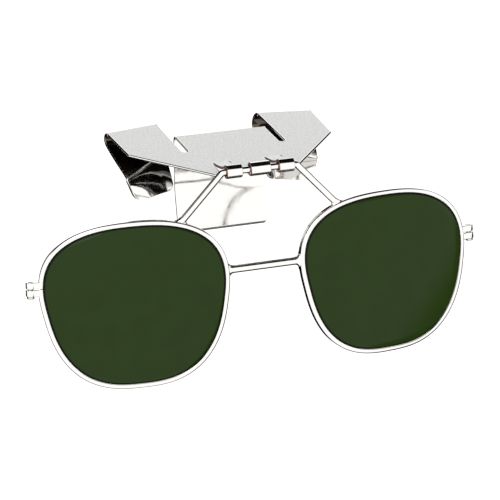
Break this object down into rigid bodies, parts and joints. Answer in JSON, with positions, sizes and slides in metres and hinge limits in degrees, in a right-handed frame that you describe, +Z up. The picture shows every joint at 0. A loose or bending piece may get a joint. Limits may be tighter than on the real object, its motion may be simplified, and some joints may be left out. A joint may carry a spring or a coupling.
{
  "type": "hard hat clip-on lenses",
  "caption": "Dark green lenses in wire rims, hinged on a sprung steel clip that grips the front band of a hard hat, so that they flip up out of sight.",
  "frame": {"origin": "middle of the rear face of the centre tongue, where it lies against the hat band", "axes": "+X to the right as seen from the front, +Y back towards the wearer, +Z up"},
  "size_m": [0.1378, 0.0617, 0.0618],
  "materials": {
    "satin_nickel": "satin nickel plate, fine grain",
    "bright_nickel": "bright nickel plate",
    "screw_steel": "turned steel",
    "filter_glass": "dark green filter glass, polished"
  },
  "bodies": {
    "clip": {"clip_plate": "satin_nickel"},
    "centre_spring": {"centre_tongue": "bright_nickel"},
    "left_spring": {"left_side_tongue": "bright_nickel"},
    "right_spring": {"right_side_tongue": "bright_nickel"},
    "lens_frame": {"hinge_yoke": "bright_nickel", "bridge_bar": "bright_nickel", "left_rim": "bright_nickel", "left_lens": "filter_glass", "left_upper_closing_block": "bright_nickel", "left_lower_closing_block": "bright_nickel", "left_closing_screw": "screw_steel", "right_rim": "bright_nickel", "right_lens": "filter_glass", "right_upper_closing_block": "bright_nickel", "right_lower_closing_block": "bright_nickel", "right_closing_screw": "screw_steel"}
  },
  "joints": [
    {"name": "lens_flip", "type": "hinge", "parent": "clip", "child": "lens_frame", "pos_m": [0, -0.0377, 0.01065], "axis": [-1, 0, 0], "range_deg": [-30, 240]},
    {"name": "centre_tongue_flex", "type": "hinge", "parent": "clip", "child": "centre_spring", "pos_m": [0, -0.0004, 0.0075], "axis": [-1, 0, 0], "range_deg": [0, 8], "stiffness_Nm_per_rad": 0.3},
    {"name": "left_tongue_flex", "type": "hinge", "parent": "clip", "child": "left_spring", "pos_m": [-0.02375, 0.00991, 0.00416], "axis": [0.972, 0.1939, -0.1331], "range_deg": [0, 25], "stiffness_Nm_per_rad": 0.3},
    {"name": "right_tongue_flex", "type": "hinge", "parent": "clip", "child": "right_spring", "pos_m": [0.02375, 0.00991, 0.00416], "axis": [0.972, -0.1939, 0.1331], "range_deg": [0, 25], "stiffness_Nm_per_rad": 0.3}
  ]
}
